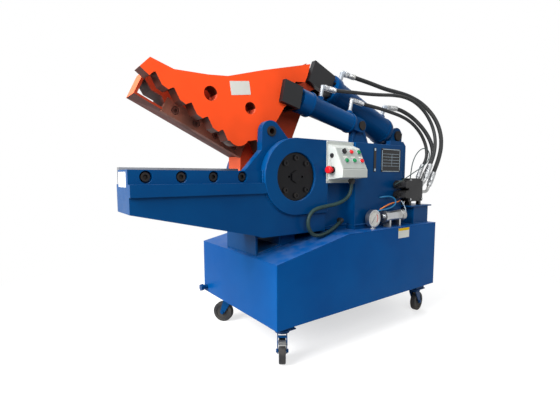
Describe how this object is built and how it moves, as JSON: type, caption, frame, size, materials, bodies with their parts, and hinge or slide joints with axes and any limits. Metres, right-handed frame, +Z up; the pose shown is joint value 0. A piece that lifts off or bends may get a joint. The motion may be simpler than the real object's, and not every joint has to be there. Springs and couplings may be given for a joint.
{
  "type": "hydraulic metal shear",
  "caption": "Wheeled hydraulic alligator shear with a fixed lower jaw, a cutting jaw and a toothed hold-down jaw on one shaft, each driven by its own cylinder, on an oil tank.",
  "frame": {"origin": "on the floor, below the middle of the machine's length and width, hoses left out", "axes": "+X from the nose of the jaws to the rear, +Y from the operator's side to the far side, +Z up"},
  "size_m": [2.1485, 0.778, 1.5907],
  "materials": {
    "blue_paint": "gloss",
    "red_paint": "gloss",
    "dark_red_paint": "gloss",
    "black_steel": "satin",
    "blade_steel": "ground",
    "chrome_rod": "polished",
    "zinc": "plated",
    "cream_paint": "satin",
    "panel_grey": "matte",
    "red_plastic": "gloss",
    "green_plastic": "gloss",
    "black_plastic": "gloss",
    "hose_rubber": "matte",
    "conduit_skin": "satin",
    "tread_rubber": "matte",
    "motor_paint": "satin",
    "gauge_case": "satin"
  },
  "bodies": {
    "frame": {"tank": "blue_paint", "tank_top": "blue_paint", "tank_fittings": "blue_paint", "lower_jaw": "blue_paint", "ring_plate": "blue_paint", "inner_cheek": "blue_paint", "far_cheek": "blue_paint", "frame_base": "blue_paint", "rear_column": "blue_paint", "clamp_post": "blue_paint", "rear_lugs": "blue_paint", "lower_blade": "blade_steel", "socket_screws": "zinc", "pivot_shaft": "blade_steel", "hub_discs": "black_steel", "frame_pins": "black_steel", "control_box": "cream_paint", "control_panel": "panel_grey", "box_fittings": "black_plastic", "conduit": "conduit_skin", "nameplate": "black_steel", "hydraulic_stand": "blue_paint", "valve_manifold": "black_steel", "solenoid_valves": "black_plastic", "pressure_gauge": "gauge_case", "line_filter": "zinc", "motor": "motor_paint", "pump": "motor_paint", "caster_mounts": "blue_paint", "pipe_fittings": "zinc", "main_head_hose": "hose_rubber", "main_rear_hose": "hose_rubber", "clamp_head_hose": "hose_rubber", "clamp_rear_hose": "hose_rubber"},
    "main_jaw": {"main_jaw": "dark_red_paint", "upper_blade": "blade_steel", "upper_blade_screws": "zinc"},
    "hold_down": {"hold_down_jaw": "red_paint"},
    "main_cylinder": {"main_barrel": "blue_paint"},
    "main_piston": {"main_rod": "chrome_rod", "main_rod_end": "black_steel"},
    "clamp_cylinder": {"clamp_barrel": "blue_paint"},
    "clamp_piston": {"clamp_rod": "chrome_rod", "clamp_rod_end": "black_steel"},
    "selector_switch": {"selector": "black_plastic"},
    "stop_button": {"emergency_stop": "red_plastic"},
    "brake": {"brake_pedal": "zinc"},
    "button_top_middle": {"button_top_middle": "red_plastic"},
    "button_top_right": {"button_top_right": "green_plastic"},
    "button_low_left": {"button_low_left": "green_plastic"},
    "button_low_middle": {"button_low_middle": "green_plastic"},
    "button_low_right": {"button_low_right": "red_plastic"},
    "fork_front_near": {"caster_fork_front_near": "blue_paint"},
    "roller_front_near": {"wheel_front_near": "tread_rubber"},
    "fork_front_far": {"caster_fork_front_far": "blue_paint"},
    "roller_front_far": {"wheel_front_far": "tread_rubber"},
    "fork_rear_near": {"caster_fork_rear_near": "blue_paint"},
    "roller_rear_near": {"wheel_rear_near": "tread_rubber"},
    "fork_rear_far": {"caster_fork_rear_far": "blue_paint"},
    "roller_rear_far": {"wheel_rear_far": "tread_rubber"}
  },
  "joints": [
    {"name": "main_jaw_pivot", "type": "hinge", "parent": "frame", "child": "main_jaw", "pos_m": [-0.18843, 0, 0.916], "axis": [0, -1, 0], "range_deg": [0, 28]},
    {"name": "hold_down_pivot", "type": "hinge", "parent": "frame", "child": "hold_down", "pos_m": [-0.18843, 0, 0.916], "axis": [0, -1, 0], "range_deg": [0, 20]},
    {"name": "main_cylinder_pivot", "type": "hinge", "parent": "frame", "child": "main_cylinder", "pos_m": [0.89057, -0.005, 1.203], "axis": [0, -1, 0], "range_deg": [0, 1.2]},
    {"name": "main_rod_slide", "type": "slide", "parent": "main_cylinder", "child": "main_piston", "axis": [-0.9275, 0, 0.3738], "range_m": [0, 0.33]},
    {"name": "clamp_cylinder_pivot", "type": "hinge", "parent": "frame", "child": "clamp_cylinder", "pos_m": [0.38157, -0.15, 1.222], "axis": [0, -1, 0], "range_deg": [0, 4]},
    {"name": "clamp_rod_slide", "type": "slide", "parent": "clamp_cylinder", "child": "clamp_piston", "axis": [-0.9766, 0, 0.215], "range_m": [0, 0.143]},
    {"name": "selector_turn", "type": "hinge", "parent": "frame", "child": "selector_switch", "pos_m": [0.07007, -0.34166, 1.04431], "axis": [0, -0.8898, 0.4563], "range_deg": [-45, 45]},
    {"name": "stop_press", "type": "slide", "parent": "frame", "child": "stop_button", "axis": [1, 0, 0], "range_m": [0, 0.006]},
    {"name": "button_top_middle_press", "type": "slide", "parent": "frame", "child": "button_top_middle", "axis": [0, 0.8898, -0.4563], "range_m": [0, 0.004], "stiffness_N_per_m": 600, "springref_m": -0.004},
    {"name": "button_top_right_press", "type": "slide", "parent": "frame", "child": "button_top_right", "axis": [0, 0.8898, -0.4563], "range_m": [0, 0.004], "stiffness_N_per_m": 600, "springref_m": -0.004},
    {"name": "button_low_left_press", "type": "slide", "parent": "frame", "child": "button_low_left", "axis": [0, 0.8898, -0.4563], "range_m": [0, 0.004], "stiffness_N_per_m": 600, "springref_m": -0.004},
    {"name": "button_low_middle_press", "type": "slide", "parent": "frame", "child": "button_low_middle", "axis": [0, 0.8898, -0.4563], "range_m": [0, 0.004], "stiffness_N_per_m": 600, "springref_m": -0.004},
    {"name": "button_low_right_press", "type": "slide", "parent": "frame", "child": "button_low_right", "axis": [0, 0.8898, -0.4563], "range_m": [0, 0.004], "stiffness_N_per_m": 600, "springref_m": -0.004},
    {"name": "swivel_front_near", "type": "hinge", "parent": "frame", "child": "fork_front_near", "pos_m": [-0.28543, -0.285, 0.15], "axis": [0, 0, 1], "continuous": true},
    {"name": "spin_front_near", "type": "hinge", "parent": "fork_front_near", "child": "roller_front_near", "pos_m": [-0.30803, -0.31555, 0.0625], "axis": [0.8039, -0.5948, 0], "continuous": true},
    {"name": "brake_turn", "type": "hinge", "parent": "fork_front_near", "child": "brake", "pos_m": [-0.33302, -0.34931, 0.126], "axis": [0.8039, -0.5948, 0], "range_deg": [0, 12]},
    {"name": "swivel_front_far", "type": "hinge", "parent": "frame", "child": "fork_front_far", "pos_m": [-0.26843, 0.3, 0.15], "axis": [0, 0, 1], "continuous": true},
    {"name": "spin_front_far", "type": "hinge", "parent": "fork_front_far", "child": "roller_front_far", "pos_m": [-0.29286, 0.32911, 0.0625], "axis": [-0.766, -0.6428, 0], "continuous": true},
    {"name": "swivel_rear_near", "type": "hinge", "parent": "frame", "child": "fork_rear_near", "pos_m": [0.83157, -0.297, 0.15], "axis": [0, 0, 1], "continuous": true},
    {"name": "spin_rear_near", "type": "hinge", "parent": "fork_rear_near", "child": "roller_rear_near", "pos_m": [0.8692, -0.29171, 0.0625], "axis": [-0.1392, 0.9903, 0], "continuous": true},
    {"name": "swivel_rear_far", "type": "hinge", "parent": "frame", "child": "fork_rear_far", "pos_m": [0.83157, 0.297, 0.15], "axis": [0, 0, 1], "continuous": true},
    {"name": "spin_rear_far", "type": "hinge", "parent": "fork_rear_far", "child": "roller_rear_far", "pos_m": [0.86874, 0.2891, 0.0625], "axis": [0.2079, 0.9781, 0], "continuous": true}
  ],
  "couplings": [
    {"joint": "main_cylinder_pivot", "follows": "main_jaw_pivot", "ratio": 0.04105},
    {"joint": "main_rod_slide", "follows": "main_jaw_pivot", "m_per_rad": 0.67262},
    {"joint": "clamp_cylinder_pivot", "follows": "hold_down_pivot", "ratio": 0.19846},
    {"joint": "clamp_rod_slide", "follows": "hold_down_pivot", "m_per_rad": 0.40606}
  ]
}
